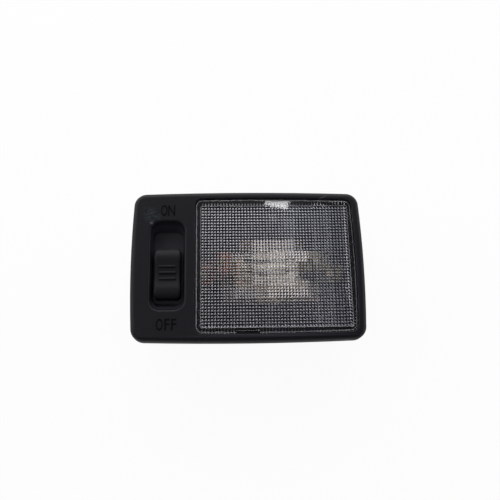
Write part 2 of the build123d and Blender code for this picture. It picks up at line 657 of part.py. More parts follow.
def feed_terminal():
    """Right-hand bulb contact: clip, riveted foot and a blade through the well floor."""
    clip_x = CLIP_RIGHT + CONTACT_THICKNESS / 2
    foot_z = FLOOR_Z + CONTACT_THICKNESS / 2
    points = (
        (clip_x, BULB_Z + CLIP_OVER_AXIS),
        (clip_x, foot_z),
        (FEED_BLADE_X, foot_z),
        (FEED_BLADE_X, BLADE_INSET),
    )
    sheet = strip_xz(points, CONTACT_BEND + CONTACT_THICKNESS / 2, CONTACT_THICKNESS, 0, CLIP_WIDTH)
    shoulder = FEED_BLADE_X - CONTACT_BEND - 2 * CONTACT_THICKNESS
    for side in (-1, 1):
        low, high = sorted((side * BLADE_WIDTH / 2, side * CLIP_WIDTH))
        sheet -= block(shoulder, HALF_LENGTH, low, high, 0, PAD_Z)
    sheet = bulb_clip(sheet, clip_x)
    return sheet - rod(FEED_RIVET_X, 0, FLOOR_Z, PAD_Z, RIVET_RADIUS + RIVET_CLEARANCE)


def switched_contact():
    """Left-hand bulb contact: clip, riveted foot and an arm that reaches under the slider."""
    clip_x = CLIP_LEFT - CONTACT_THICKNESS / 2
    foot_z = FLOOR_Z + CONTACT_THICKNESS / 2
    arm_end = SWITCH_X - ARM_END
    points = ((arm_end, foot_z), (clip_x, foot_z), (clip_x, BULB_Z + CLIP_OVER_AXIS))
    sheet = strip_xz(points, CONTACT_BEND + CONTACT_THICKNESS / 2, CONTACT_THICKNESS, 0, CLIP_WIDTH)
    foot_end = clip_x - FOOT_LENGTH
    sheet -= block(arm_end, foot_end, ARM_Y + ARM_WIDTH / 2, CLIP_WIDTH, FLOOR_Z, PAD_Z)
    sheet -= block(arm_end, foot_end, -CLIP_WIDTH, ARM_Y - ARM_WIDTH / 2, FLOOR_Z, PAD_Z)
    sheet = bulb_clip(sheet, clip_x)
    for x, y in (rivet_places()[0][1], rivet_places()[1][0]):
        sheet -= rod(x, y, FLOOR_Z, PAD_Z, RIVET_RADIUS + RIVET_CLEARANCE)
    return sheet


def ground_terminal():
    """Fixed switch contact: a pad under the slider and a blade through the switch base."""
    pad_z = FLOOR_Z + CONTACT_THICKNESS / 2
    points = ((GROUND_PAD_START, pad_z), (GROUND_BLADE_Y, pad_z), (GROUND_BLADE_Y, BLADE_INSET))
    bend = CONTACT_BEND + CONTACT_THICKNESS / 2
    sheet = strip_yz(points, bend, CONTACT_THICKNESS, SWITCH_X, BLADE_WIDTH)
    return sheet - rod(SWITCH_X, GROUND_RIVET_Y, FLOOR_Z, PAD_Z, RIVET_RADIUS + RIVET_CLEARANCE)


def rivet(x, y, back_z):
    """A rivet set from the contact's face to the back of what carries it."""
    shank = rod(x, y, back_z, PAD_Z, RIVET_RADIUS)
    head = rod(x, y, PAD_Z, PAD_Z + RIVET_HEAD_HEIGHT, RIVET_HEAD_RADIUS)
    head = fillet(head.edges().group_by(Axis.Z)[-1], RIVET_HEAD_HEIGHT / 2)
    tail = rod(x, y, back_z - RIVET_HEAD_HEIGHT, back_z, RIVET_HEAD_RADIUS)
    tail = fillet(tail.edges().group_by(Axis.Z)[0], RIVET_HEAD_HEIGHT / 2)
    return shank + head + tail


def contact_rivets():
    """The rivets of all three contacts."""
    floor_rivets, base_rivets = rivet_places()
    rivets = [rivet(x, y, FLOOR_BACK_Z) for x, y in floor_rivets]
    rivets += [rivet(x, y, BASE_BACK_Z) for x, y in base_rivets]
    return Compound(rivets)


def base_screw(x, y):
    """A pan-head screw with a cross recess, driven from behind."""
    shank = rod(x, y, BASE_BACK_Z, FLOOR_Z + BASE_SCREW_LENGTH - BASE_THICKNESS, BASE_SCREW_RADIUS)
    head = rod(x, y, BASE_BACK_Z - SCREW_HEAD_HEIGHT, BASE_BACK_Z, SCREW_HEAD_RADIUS)
    head = fillet(head.edges().group_by(Axis.Z)[0], SCREW_HEAD_HEIGHT / 2)
    low = BASE_BACK_Z - SCREW_HEAD_HEIGHT
    reach = SCREW_SLOT_LENGTH / 2
    half = SCREW_SLOT_WIDTH / 2
    cross = block(x - reach, x + reach, y - half, y + half, low, low + SCREW_SLOT_DEPTH)
    cross += block(x - half, x + half, y - reach, y + reach, low, low + SCREW_SLOT_DEPTH)
    return shank + head - cross


def base_screws():
    """The two screws of the switch base."""
    return Compound([base_screw(x, y) for x, y in base_screw_places()])


def reflector():
    """Bright sheet behind the bulb, held by tabs that are bent over behind the well floor."""
    x0 = PLATE_X - PLATE_LENGTH / 2
    x1 = PLATE_X + PLATE_LENGTH / 2
    y0 = PLATE_Y - PLATE_WIDTH / 2
    y1 = PLATE_Y + PLATE_WIDTH / 2
    sheet = rounded_prism(x0, x1, y0, y1, FLOOR_Z, FLOOR_Z + PLATE_THICKNESS, PLATE_CORNER_RADIUS)
    clip_room = CLIP_WIDTH / 2 + PLATE_CLEARANCE
    clip_x = (CLIP_RIGHT - PLATE_CLEARANCE, WELL_RIGHT)
    sheet -= block(*clip_x, -clip_room, clip_room, FLOOR_Z, FLOOR_Z + PLATE_THICKNESS)
    mid = FLOOR_Z + PLATE_THICKNESS / 2
    foot = FLOOR_BACK_Z - PLATE_THICKNESS / 2
    bend = PLATE_BEND + PLATE_THICKNESS / 2
    for side in (-1, 1):
        edge = PLATE_Y + side * (PLATE_WIDTH - PLATE_THICKNESS) / 2
        points = (
            (edge - side * 2 * PLATE_TAB_FOOT, mid),
            (edge, mid),
            (edge, foot),
            (edge + side * PLATE_TAB_FOOT, foot),
        )
        for x in plate_tab_places():
            sheet += strip_yz(points, bend, PLATE_THICKNESS, x, PLATE_TAB_WIDTH)
    return sheet


def bulb_glass():
    """Barrel of clear glass, open at its two necks inside the caps."""
    half = GLASS_LENGTH / 2
    neck_end = half + GLASS_TAIL
    shoulder = GLASS_RADIUS - GLASS_END_RADIUS
    inner = GLASS_RADIUS - GLASS_WALL
    neck_bore = GLASS_END_RADIUS - GLASS_WALL
    outside = Polyline(
        (-neck_end, GLASS_END_RADIUS), (-half, GLASS_END_RADIUS), (shoulder - half, GLASS_RADIUS),
        (half - shoulder, GLASS_RADIUS), (half, GLASS_END_RADIUS), (neck_end, GLASS_END_RADIUS),
    )
    inside = Polyline(
        (neck_end, neck_bore), (half - GLASS_WALL, neck_bore), (half - shoulder - GLASS_WALL, inner),
        (shoulder + GLASS_WALL - half, inner), (GLASS_WALL - half, neck_bore), (-neck_end, neck_bore),
    )
    ends = (
        Line(outside @ 1, inside @ 0),
        Line(inside @ 1, outside @ 0),
    )
    section = make_face([outside, inside, *ends])
    rounded = [v for v in section.vertices() if v.Y > GLASS_END_RADIUS]
    section = fillet(rounded, shoulder / 2)
    return Pos(BULB_X, 0, BULB_Z) * revolve(Plane.XZ * section, Axis.X)


def bulb_cap(side):
    """Drawn metal cap with the nipple that sits in the contact's hole."""
    mouth = GLASS_LENGTH / 2
    shoulder = BULB_SHOULDER
    tip = BULB_LENGTH / 2
    points = (
        (mouth, CAP_BORE),
        (mouth, CAP_RADIUS),
        (shoulder - CAP_WALL, CAP_RADIUS),
        (shoulder, CAP_BORE),
        (shoulder, NIPPLE_RADIUS),
        (tip - CAP_WALL, NIPPLE_RADIUS),
        (tip, NIPPLE_RADIUS - CAP_WALL),
        (tip, 0),
        (shoulder - CAP_WALL, 0),
        (shoulder - CAP_WALL, CAP_BORE),
    )
    return turned_x([(side * x, radius) for x, radius in points])


def bulb_filament():
    """Two lead wires and the tungsten coil stretched between them."""
    end = BULB_SHOULDER - CAP_WALL
    half = COIL_LENGTH / 2
    points = (
        (-end, 0),
        (-end, LEAD_RADIUS),
        (-half, LEAD_RADIUS),
        (-half, COIL_RADIUS),
        (half, COIL_RADIUS),
        (half, LEAD_RADIUS),
        (end, LEAD_RADIUS),
        (end, 0),
    )
    return turned_x(points)


def write(name, shape):
    """Store one piece under its own name."""
    export_step(shape, f"parts/{name}.step")


os.makedirs("parts", exist_ok=True)
write("housing", housing())
write("lens", lens())
write("switch_knob", switch_knob())
write("contact_carrier", contact_carrier())
write("moving_contact", moving_contact())
write("detent_spring", detent_spring())
write("switch_base", switch_base())
write("feed_terminal", feed_terminal())
write("switched_contact", switched_contact())
write("ground_terminal", ground_terminal())
write("contact_rivets", contact_rivets())
write("base_screws", base_screws())
write("reflector", reflector())
write("bulb_glass", bulb_glass())
write("bulb_cap_left", bulb_cap(-1))
write("bulb_cap_right", bulb_cap(1))
write("bulb_filament", bulb_filament())
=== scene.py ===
import math

import bmesh
import bpy
from bpy.props import FloatProperty, FloatVectorProperty, PointerProperty
from mathutils import Matrix, Vector


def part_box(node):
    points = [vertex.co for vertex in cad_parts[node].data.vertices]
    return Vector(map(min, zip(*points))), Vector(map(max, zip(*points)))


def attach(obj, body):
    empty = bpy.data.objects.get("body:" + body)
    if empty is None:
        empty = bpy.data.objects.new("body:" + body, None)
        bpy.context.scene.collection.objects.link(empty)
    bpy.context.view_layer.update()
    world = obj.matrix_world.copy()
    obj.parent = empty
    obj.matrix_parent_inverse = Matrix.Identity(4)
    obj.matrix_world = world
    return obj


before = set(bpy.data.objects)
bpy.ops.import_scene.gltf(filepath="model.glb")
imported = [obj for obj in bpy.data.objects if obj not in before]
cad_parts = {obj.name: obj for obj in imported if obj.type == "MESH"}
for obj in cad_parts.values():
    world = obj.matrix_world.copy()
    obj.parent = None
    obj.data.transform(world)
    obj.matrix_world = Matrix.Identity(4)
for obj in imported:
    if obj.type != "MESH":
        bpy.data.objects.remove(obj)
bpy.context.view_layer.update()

bl_info = {
    "name": "Car Dome Light",
    "version": (1, 0, 0),
    "blender": (4, 5, 0),
    "location": "View3D > Sidebar > Dome Light",
    "description": "Finishes, switch words, floor, light and camera of a car dome light",
    "category": "Object",
}

MM = 0.001
FACE_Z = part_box("housing")[1].z
LENS_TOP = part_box("lens")[1].z
KNOB_LOW, KNOB_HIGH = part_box("switch_knob")
SWITCH_X = (KNOB_LOW.x + KNOB_HIGH.x) / 2

# Marks on the frame, each with its middle, size and turn: rubbed dust at the upper left corner, a bruised
# speck by the recess, a hairline scratch at the upper right and a painted highlight along the lip below the
# lens
DUST_MARK = ((-37.4 * MM, 20.0 * MM, FACE_Z), (5.2 * MM, 3.6 * MM, 2 * MM), math.radians(-40))
SPECK_MARK = ((-37.2 * MM, 16.8 * MM, FACE_Z), (0.9 * MM, 0.7 * MM, 1 * MM), 0.0)
SCRATCH_MARK = ((29.7 * MM, 27.0 * MM, FACE_Z), (3.4 * MM, 0.26 * MM, 2 * MM), math.radians(24))
LIP_HIGHLIGHT = ((11.0 * MM, -27.6 * MM, FACE_Z), (46 * MM, 0.5 * MM, 2 * MM), 0.0)

# Dust and painted light in the recess: a paler film on its floor and low walls, which thickens between these
# depths below the face
RECESS_BOX = ((SWITCH_X, 0.0, 0.0), (6.7 * MM, 17.9 * MM, 0.0))
FILM_STARTS = 0.8 * MM
FILM_FULL = 3 * MM

# The lens: the field of prisms, then depths below the front of its rim, its inner face and its tab
PRISM_HALF_Y = 24.0 * MM
PRISM_BOX = ((10.675 * MM, 0.0, 0.0), (28.8 * MM, PRISM_HALF_Y, 0.0))
RIM_DEPTH = 0.45 * MM
RIM_REACH = 0.3 * MM
INNER_DEPTH = 1.5 * MM
TAB_DEPTH = 2.75 * MM

# The painted highlight line of the step runs just outside the prisms, and the painted shade of the lower
# border starts further out
STEP_PLACE = 0.15 * MM
STEP_REACH = 0.14 * MM
BORDER_GAP = 0.3 * MM

# How much the painted highlight lines and the painted shade of the lower border hide of what lies behind
# them
HIGHLIGHT_LINE_SHARE = 0.32
STEP_SHARE = 0.55
BORDER_SHARE = 0.5

# Parts of the copper contact and of the plate that are still bright; beyond them painted shade makes the
# metal darker and browner. A half size of 1 m sets no limit.
COPPER_BRIGHT = ((-5.7 * MM, 0.0, 0.0), (5.6 * MM, 1.0, 0.0))
PLATE_BRIGHT = ((11.0 * MM, 0.8 * MM, 0.0), (8.2 * MM, 9.8 * MM, 0.0))
SHADE_REACH = 0.8 * MM
SHADE_SHARES = (0.24, 0.21, 0.18)

# How metal streaks are stretched: along the rolling or drawing, or not at all
STREAKS_X = (0.1, 1.0, 1.0)
STREAKS_Y = (1.0, 0.1, 1.0)
NO_STREAKS = (1.0, 1.0, 1.0)

# The words stand just clear of the face, so that the two don't flicker
WORD_LIFT = 0.01 * MM
MERGE_REACH = 0.001 * MM

# Parts of the floor, as half sizes: where mirrors see it dimmed, and where no white may shine up
FLOOR_DIMMED = (150 * MM, 130 * MM, 1.0)
FLOOR_COVERED = (40 * MM, 25 * MM, 1.0)
FLOOR_WHITE_SHARE = 0.94

# Two glows in the ceiling that the front of the lens mirrors, as direction, size and turn, and their
# strengths, and how high the white backdrop reaches
WIDE_GLOW = ((0.0, 0.53, 0.85), (0.28, 0.36, 0.30), 0.0)
SMALL_GLOW = ((0.078, 0.47, 0.879), (0.13, 0.16, 0.16), 0.0)
WIDE_STRENGTH = 0.55
SMALL_STRENGTH = 0.3
BACKDROP_TOP = 0.06

# Soft lights, each with its place, the point it faces, its width, depth and watts
FACE_MIDDLE = (0.0, 0.0, FACE_Z)
SOFT_LIGHTS = {
    "Key softbox": ((-0.75, 0.30, 0.45), FACE_MIDDLE, 1.0, 0.8, 3.8),
    "Overhead softbox": ((-0.22, -0.22, 0.85), FACE_MIDDLE, 0.4, 0.4, 1.1),
    "Fill softbox": ((0.80, 0.15, 0.24), FACE_MIDDLE, 1.0, 0.4, 2.1),
    "Back softbox": ((0.0, 0.75, 0.36), FACE_MIDDLE, 1.0, 0.5, 5.0),
    "Window": ((0.104, 0.418, 0.945), (0.011, 0.025, 0.025), 0.045, 0.105, 0.17),
}


def linear(code):
    """An sRGB hex colour as linear red, green and blue."""
    parts = [int(code[i:i + 2], 16) / 255 for i in (0, 2, 4)]
    return tuple(c / 12.92 if c <= 0.04045 else ((c + 0.055) / 1.055) ** 2.4 for c in parts)


def colour(name, description, code):
    """A colour setting whose default is an sRGB hex value."""
    return FloatVectorProperty(
        name=name, description=description, subtype="COLOR", size=3, min=0.0, max=1.0, default=linear(code)
    )


def length(name, description, size):
    """A length setting in metres."""
    return FloatProperty(
        name=name, description=description, subtype="DISTANCE", unit="LENGTH", default=size
    )


class PlasticLooks(bpy.types.PropertyGroup):
    """Colours and grain of the moulded plastics"""

    frame_black: colour("Frame black", "Grained ABS of the housing", "08080f")
    knob_black: colour("Knob black", "Satin ABS of the switch knob", "09090f")
    dust_grey: colour("Dust grey", "Rubbed dust on the frame's corner", "3c4648")
    # A paler grey for dust and painted light in the switch recess, and for the painted highlight along the
    # lip below the lens
    film_and_highlight_grey: colour("Film grey", "Dust in the switch recess and on the worn lip below the lens", "28282e")
    chip_white: colour("Chip white", "Bruised speck beside the recess and hairline scratch", "505054")
    # Painted shade: the floors of the words are coloured near black for the shadow inside the strokes
    groove_shade: colour("Groove black", "Floor of the sunk words", "040406")
    nylon_white: colour("Nylon white", "Slider behind the recess", "dcdacf")
    laminate_brown: colour("Laminate brown", "Insulating switch base", "6d4429")
    grain_size: length("Grain", "Width of one grain of the frame's mould", 0.45 * MM)


class ClearLooks(bpy.types.PropertyGroup):
    """Colours of the clear pieces"""

    acrylic_tint: colour("Acrylic tint", "Clear acrylic of the lens", "fcfcfe")
    # Painted shade of the lens's lower border and tab
    slot_shade: colour("Slot black", "Lower border and tab of the lens, dark from what is behind", "1a1a1c")
    glass_tint: colour("Glass tint", "Glass of the bulb", "fbfbf8")


class MetalLooks(bpy.types.PropertyGroup):
    """Colours of the metal pieces"""

    plate_bright: colour("Plate", "Bright aluminium behind the bulb", "f5ebe0")
    clip_brass: colour("Brass", "Dulled brass of the feed and ground contacts", "7c7660")
    clip_copper: colour("Copper", "Reddish copper of the switched contact", "a86a5c")
    spring_brass: colour("Spring brass", "Moving contact", "d0ad62")
    rivet_brass: colour("Rivet brass", "Rivets", "948868")
    spring_steel: colour("Spring steel", "Detent leaf", "9b9b9d")
    zinc: colour("Zinc", "Screws of the switch base", "c3c5c8")
    nickel: colour("Nickel", "Caps of the bulb", "6f6750")
    tungsten: colour("Tungsten", "Filament", "77777a")


class WordSizes(bpy.types.PropertyGroup):
    """Place and size of the switch words on the face"""

    on_y: length("ON place", "Middle of ON along the switch", 21.9 * MM)
    on_height: length("ON height", "Height of ON", 4.4 * MM)
    on_gap: length("ON gap", "Space between the letters of ON", 0.24 * MM)
    off_y: length("OFF place", "Middle of OFF along the switch", -23.04 * MM)
    off_height: length("OFF height", "Height of OFF", 4.4 * MM)
    off_gap: length("OFF gap", "Space between the letters of OFF", 0.6 * MM)
    o_width: length("O width", "Width of the letter O", 2.55 * MM)
    n_width: length("N width", "Width of the letter N", 2.7 * MM)
    f_width: length("F width", "Width of the letter F", 1.9 * MM)
    groove_rim: length("Groove rim", "Width of the sloping side of a stroke", 0.14 * MM)
    groove_rise: length("Groove rise", "Height of a stroke's edge over its floor", 0.05 * MM)
    stroke_gain: length("Stroke gain", "How much each stroke is fattened", 0.05 * MM)


class StageSettings(bpy.types.PropertyGroup):
    """Floor, light and camera"""

    floor_reach: length("Floor", "Half the side of the floor", 4.0)
    floor_pale: colour("Floor colour", "Pale floor", "f2f2f2")
    wall_left: colour("Left wall", "Light of the room from the left", "f8f8ff")
    wall_right: colour("Right wall", "Cooler light of the room from the right", "e6eaff")
    camera_place: FloatVectorProperty(
        name="Camera", description="Where the camera stands", subtype="TRANSLATION", unit="LENGTH",
        default=(-9.218 * MM, -64.834 * MM, 264.409 * MM),
    )
    camera_target: FloatVectorProperty(
        name="Aim", description="What the camera looks at", subtype="TRANSLATION", unit="LENGTH",
        default=(0.968 * MM, 6.733 * MM, 23.0 * MM),
    )
    camera_roll: FloatProperty(
        name="Roll", description="Turn of the camera about its view", subtype="ANGLE",
        default=math.radians(-1.11),
    )
    camera_lens: FloatProperty(
        name="Lens", description="Focal length on a 36 mm sensor", subtype="DISTANCE_CAMERA", default=46.3
    )


GROUPS = {
    "dome_plastics": PlasticLooks,
    "dome_clears": ClearLooks,
    "dome_metals": MetalLooks,
    "dome_words": WordSizes,
    "dome_stage": StageSettings,
}


def add(tree, kind, inputs=(), **settings):
    """Add a node, set its own settings, and set or link its inputs by name or number."""
    made = tree.nodes.new(kind)
    for name, value in settings.items():
        setattr(made, name, value)
    for key, value in dict(inputs).items():
        if isinstance(value, bpy.types.NodeSocket):
            tree.links.new(value, made.inputs[key])
        else:
            made.inputs[key].default_value = value
    return made


def rgba(rgb):
    """A colour with full alpha, as colour sockets take it."""
    return (*rgb, 1.0)


def new_material(name):
    """An empty material, its node tree and the place on the piece."""
    material = bpy.data.materials.new(name)
    material.use_nodes = True
    tree = material.node_tree
    tree.nodes.clear()
    place = add(tree, "ShaderNodeTexCoord").outputs["Object"]
    return material, tree, place


def finish_material(tree, shader):
    """Link a shader to the output."""
    add(tree, "ShaderNodeOutputMaterial", {"Surface": shader.outputs[0]})


def dress(node, material):
    """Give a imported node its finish."""
    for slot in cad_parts[node].material_slots:
        slot.material = material


def spot(tree, place, centre, size, turn):
    """A soft spot: 1 at its centre, 0 at the rim of an ellipsoid of that size, turned about Z."""
    local = add(
        tree, "ShaderNodeMapping",
        {"Vector": place, "Location": centre, "Rotation": (0.0, 0.0, turn), "Scale": size},
        vector_type="TEXTURE",
    )
    fade = add(tree, "ShaderNodeTexGradient", {"Vector": local.outputs[0]}, gradient_type="SPHERICAL")
    return fade.outputs["Fac"]


def box_edge(tree, place, centre, half):
    """How far a point lies outside an upright box's sides, less than 0 inside it."""
    offset = add(tree, "ShaderNodeVectorMath", {0: place, 1: centre}, operation="SUBTRACT")
    reach = add(tree, "ShaderNodeVectorMath", {0: offset.outputs[0]}, operation="ABSOLUTE")
    past = add(tree, "ShaderNodeVectorMath", {0: reach.outputs[0], 1: half}, operation="SUBTRACT")
    sides = add(tree, "ShaderNodeSeparateXYZ", {"Vector": past.outputs[0]})
    furthest = add(
        tree, "ShaderNodeMath", {0: sides.outputs["X"], 1: sides.outputs["Y"]}, operation="MAXIMUM"
    )
    return furthest.outputs[0]


def mottled(tree, tone, pattern, low, high):
    """A colour that a pattern darkens and lightens between two shares of itself."""
    share = add(tree, "ShaderNodeMapRange", {"Value": pattern, "To Min": low, "To Max": high})
    mixed = add(
        tree, "ShaderNodeMix",
        {"Factor": 1.0, "A": rgba(tone), "B": share.outputs[0]},
        data_type="RGBA", blend_type="MULTIPLY",
    )
    return mixed.outputs["Result"]


def relief_shader(tree, pattern, strength, depth, inputs):
    """A shader whose surface rises and falls with a pattern."""
    bump = add(tree, "ShaderNodeBump", {"Height": pattern, "Strength": strength, "Distance": depth})
    return add(tree, "ShaderNodeBsdfPrincipled", {"Normal": bump.outputs[0], **inputs})


def frame_abs(looks):
    """Grained black ABS of the housing, with its dust, bruise, scratch, a paler film of dust and painted
    light in its recess, and a painted highlight on the lip below the lens.
    """
    # Black ABS out of a spark-eroded mould: a fine matte grain breaks each highlight into a soft, cool grey.
    # The real grain is about 0.1 mm wide, too fine to show, so it is drawn coarser.
    material, tree, place = new_material("Black ABS, grained mould")
    grain = add(
        tree, "ShaderNodeTexNoise", {"Vector": place, "Scale": 1 / looks.grain_size, "Detail": 3.0}
    ).outputs["Fac"]
    cloud = add(
        tree, "ShaderNodeTexNoise", {"Vector": place, "Scale": 1 / (7 * MM), "Detail": 4.0}
    ).outputs["Fac"]
    tone = mottled(tree, looks.frame_black, cloud, 0.8, 1.25)

    # Dust at the corner was wiped, so it is left in wisps
    wisp = add(
        tree, "ShaderNodeTexNoise",
        {"Vector": place, "Scale": 1 / (1.4 * MM), "Detail": 5.0, "Distortion": 1.2},
    ).outputs["Fac"]
    left = add(
        tree, "ShaderNodeMapRange", {"Value": wisp, "From Min": 0.42, "From Max": 0.75, "To Max": 0.75}
    )
    corner = spot(tree, place, *DUST_MARK)
    dusty = add(tree, "ShaderNodeMath", {0: corner, 1: left.outputs[0]}, operation="MULTIPLY")

    # Dust and painted light in the recess: a paler film on its floor and low on its walls
    past = box_edge(tree, place, *RECESS_BOX)
    pit = add(tree, "ShaderNodeMath", {0: past, 1: 0.0}, operation="LESS_THAN")
    height = add(tree, "ShaderNodeSeparateXYZ", {"Vector": place}).outputs["Z"]
    sunk = add(
        tree, "ShaderNodeMapRange",
        {"Value": height, "From Min": FACE_Z - FILM_STARTS, "From Max": FACE_Z - FILM_FULL},
    )
    recess_film = add(tree, "ShaderNodeMath", {0: pit.outputs[0], 1: sunk.outputs[0]}, operation="MULTIPLY")
    # The lip below the lens gets a painted highlight line. worn mixes it with the recess film, both in the
    # paler film grey
    lip = spot(tree, place, *LIP_HIGHLIGHT)
    worn = add(tree, "ShaderNodeMath", {0: recess_film.outputs[0], 1: lip}, operation="MAXIMUM")

    speck = spot(tree, place, *SPECK_MARK)
    scratch = spot(tree, place, *SCRATCH_MARK)
    bruise = add(tree, "ShaderNodeMath", {0: speck, 1: scratch}, operation="MAXIMUM", use_clamp=True)
    for mark, grey in ((dusty, looks.dust_grey), (worn, looks.film_and_highlight_grey), (bruise, looks.chip_white)):
        layer = {"Factor": mark.outputs[0], "A": tone, "B": rgba(grey)}
        tone = add(tree, "ShaderNodeMix", layer, data_type="RGBA").outputs["Result"]
    rough = add(tree, "ShaderNodeMapRange", {"Value": grain, "To Min": 0.42, "To Max": 0.6})
    finish_material(tree, relief_shader(tree, grain, 0.25, 0.06 * MM, {
        "Base Color": tone, "Roughness": rough.outputs[0], "IOR": 1.5, "Specular IOR Level": 0.22,
    }))
    return material


def knob_abs(looks):
    """Satin black ABS of the switch knob."""
    # The knob's mould was only sanded and thumbs have rubbed it: smoother than the frame, with wider
    # highlights. Its real grain is too fine to show, so it is drawn coarser.
    material, tree, place = new_material("Black ABS, thumb-worn satin")
    grain = add(
        tree, "ShaderNodeTexNoise", {"Vector": place, "Scale": 1 / (0.35 * MM), "Detail": 3.0}
    ).outputs["Fac"]
    rub = add(
        tree, "ShaderNodeTexNoise", {"Vector": place, "Scale": 1 / (4 * MM), "Detail": 3.0}
    ).outputs["Fac"]
    tone = mottled(tree, looks.knob_black, rub, 0.8, 1.2)
    rough = add(tree, "ShaderNodeMapRange", {"Value": rub, "To Min": 0.5, "To Max": 0.65})
    finish_material(tree, relief_shader(tree, grain, 0.15, 0.04 * MM, {
        "Base Color": tone, "Roughness": rough.outputs[0], "IOR": 1.5, "Specular IOR Level": 0.21,
    }))
    return material


def lit_through(tree, place, tint, inputs):
    """A clear shader that waves a little and lets the lamps light what is behind it."""
    wave = add(tree, "ShaderNodeTexNoise", {"Vector": place, "Scale": 1 / (6 * MM), "Detail": 2.0})
    clear = relief_shader(tree, wave.outputs["Fac"], 0.03, 0.05 * MM, inputs)
    path = add(tree, "ShaderNodeLightPath")
    through = add(tree, "ShaderNodeBsdfTransparent", {"Color": rgba(tint)})
    return add(
        tree, "ShaderNodeMixShader",
        {0: path.outputs["Is Shadow Ray"], 1: clear.outputs[0], 2: through.outputs[0]},
    )


def lens_acrylic(looks):
    """Clear acrylic of the lens, with painted highlight lines, and painted shade on its lower border and
    tab.
    """
    # Moulded acrylic: clear and a little cool, with sharp reflections off its flat front. Its rounded rim
    # and the step round the prisms carry painted highlights: thin pale lines.
    material, tree, place = new_material("Clear acrylic, moulded")
    spread = add(tree, "ShaderNodeSeparateXYZ", {"Vector": place})
    height = spread.outputs["Z"]
    outside = box_edge(tree, place, *PRISM_BOX)
    under = add(tree, "ShaderNodeMath", {0: height, 1: LENS_TOP - INNER_DEPTH}, operation="LESS_THAN")
    rim = add(
        tree, "ShaderNodeMath", {0: height, 1: LENS_TOP - RIM_DEPTH, 2: RIM_REACH}, operation="COMPARE"
    )
    step = add(tree, "ShaderNodeMath", {0: outside, 1: STEP_PLACE, 2: STEP_REACH}, operation="COMPARE")
    line = add(tree, "ShaderNodeMath", {0: step.outputs[0], 1: under.outputs[0]}, operation="MULTIPLY")
    faint = add(tree, "ShaderNodeMath", {0: line.outputs[0], 1: STEP_SHARE}, operation="MULTIPLY")
    pale = add(tree, "ShaderNodeMath", {0: rim.outputs[0], 1: faint.outputs[0]}, operation="MAXIMUM")
    highlight_clarity = add(
        tree, "ShaderNodeMath", {0: pale.outputs[0], 1: -HIGHLIGHT_LINE_SHARE, 2: 1.0}, operation="MULTIPLY_ADD"
    )

    # Painted shade: the lower border, which lies tight on its black ledge, and the tab, which lies in a dark
    # slot, are coloured dark
    below = add(
        tree, "ShaderNodeMath",
        {0: spread.outputs["Y"], 1: -PRISM_HALF_Y - BORDER_GAP},
        operation="LESS_THAN",
    )
    pressed = add(tree, "ShaderNodeMath", {0: below.outputs[0], 1: under.outputs[0]}, operation="MULTIPLY")
    tab = add(tree, "ShaderNodeMath", {0: height, 1: LENS_TOP - TAB_DEPTH}, operation="LESS_THAN")
    border = add(tree, "ShaderNodeMath", {0: pressed.outputs[0], 1: BORDER_SHARE}, operation="MULTIPLY")
    dark = add(tree, "ShaderNodeMath", {0: border.outputs[0], 1: tab.outputs[0]}, operation="MAXIMUM")
    shaded = add(tree, "ShaderNodeMath", {0: pressed.outputs[0], 1: tab.outputs[0]}, operation="MAXIMUM")
    tone = add(
        tree, "ShaderNodeMix",
        {"Factor": shaded.outputs[0], "A": rgba(looks.acrylic_tint), "B": rgba(looks.slot_shade)},
        data_type="RGBA",
    )
    clarity = add(
        tree, "ShaderNodeMath", {0: highlight_clarity.outputs[0], 1: dark.outputs[0]},
        operation="SUBTRACT", use_clamp=True,
    )
    finish_material(tree, lit_through(tree, place, looks.acrylic_tint, {
        "Base Color": tone.outputs["Result"], "Roughness": 0.03, "IOR": 1.49,
        "Transmission Weight": clarity.outputs[0],
    }))
    return material


def bulb_glass(looks):
    """Glass of the bulb."""
    # Soda-lime glass, blown thin: quite clear, seen by its highlights.
    material, tree, place = new_material("Soda-lime glass, blown")
    finish_material(tree, lit_through(tree, place, looks.glass_tint, {
        "Base Color": rgba(looks.glass_tint), "Roughness": 0.0, "IOR": 1.52, "Transmission Weight": 1.0,
    }))
    return material


